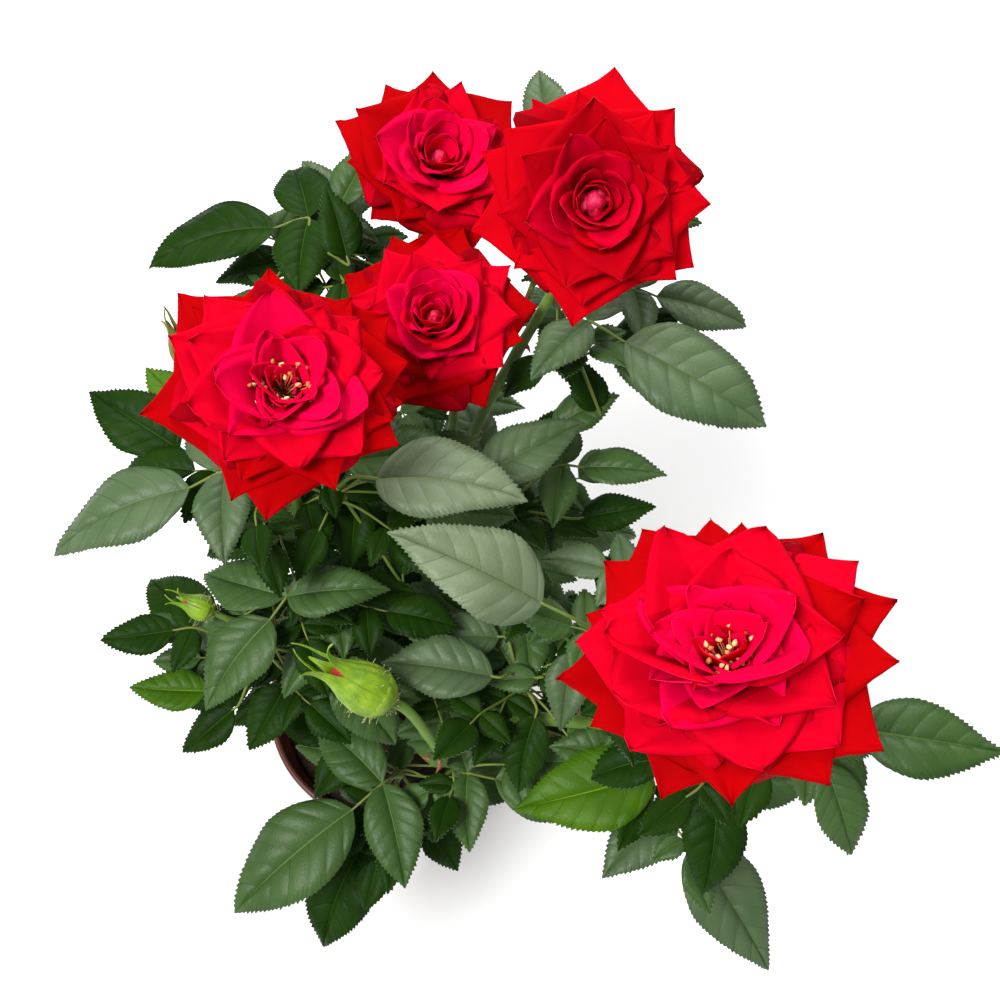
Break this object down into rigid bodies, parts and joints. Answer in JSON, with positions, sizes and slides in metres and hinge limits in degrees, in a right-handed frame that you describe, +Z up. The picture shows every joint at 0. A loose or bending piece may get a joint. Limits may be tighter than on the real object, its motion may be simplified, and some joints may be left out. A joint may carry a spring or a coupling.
{
  "type": "potted rose bush",
  "caption": "Potted miniature rose bush: slender canes rise from a filled plastic pot to open double blooms, buds and toothed compound leaves.",
  "frame": {"origin": "centre of the pot's flat underside", "axes": "+Z up; the plant leans out towards +X, and -Y is the side that the tallest blooms face"},
  "size_m": [0.27, 0.26, 0.3258],
  "materials": {
    "pot": "thin reddish-brown nursery plastic, matt with a faint sheen on the rolled rim",
    "soil": "dark moist peat with fine crumbs and fibres",
    "cane": "smooth green bark with thorns and reddish nodes, browner at the foot",
    "foliage": "leathery leaflets with toothed edges and sunken veins, dull green with a grey sheen",
    "bloom": "velvety red petals, darker outside and in the folds",
    "bud": "yellow-green sepals with fine hairs over a closed red bud"
  },
  "bodies": {
    "root": {"pot": "pot", "soil": "soil", "cane_back": "cane", "cane_left": "cane", "cane_right": "cane", "cane_front": "cane", "cane_rear": "cane", "bough_top_left": "cane", "bough_middle": "cane", "bough_side": "cane", "bloom_top_left": "bloom", "bloom_top_right": "bloom", "bloom_middle": "bloom", "bloom_left": "bloom", "bloom_right": "bloom", "bud_front": "bud", "bud_side": "bud", "foliage_rear_left": "foliage", "foliage_top": "foliage", "foliage_upper_right": "foliage", "foliage_mid_right": "foliage", "foliage_centre_right": "foliage", "foliage_left": "foliage", "foliage_centre": "foliage", "foliage_left_low": "foliage", "foliage_far_left": "foliage", "foliage_front_left": "foliage", "foliage_front": "foliage", "foliage_front_centre": "foliage", "foliage_front_right": "foliage", "foliage_right": "foliage", "foliage_back": "foliage", "foliage_back_low": "foliage", "foliage_back_right": "foliage", "foliage_low": "foliage", "foliage_under_right": "foliage"}
  },
  "joints": []
}
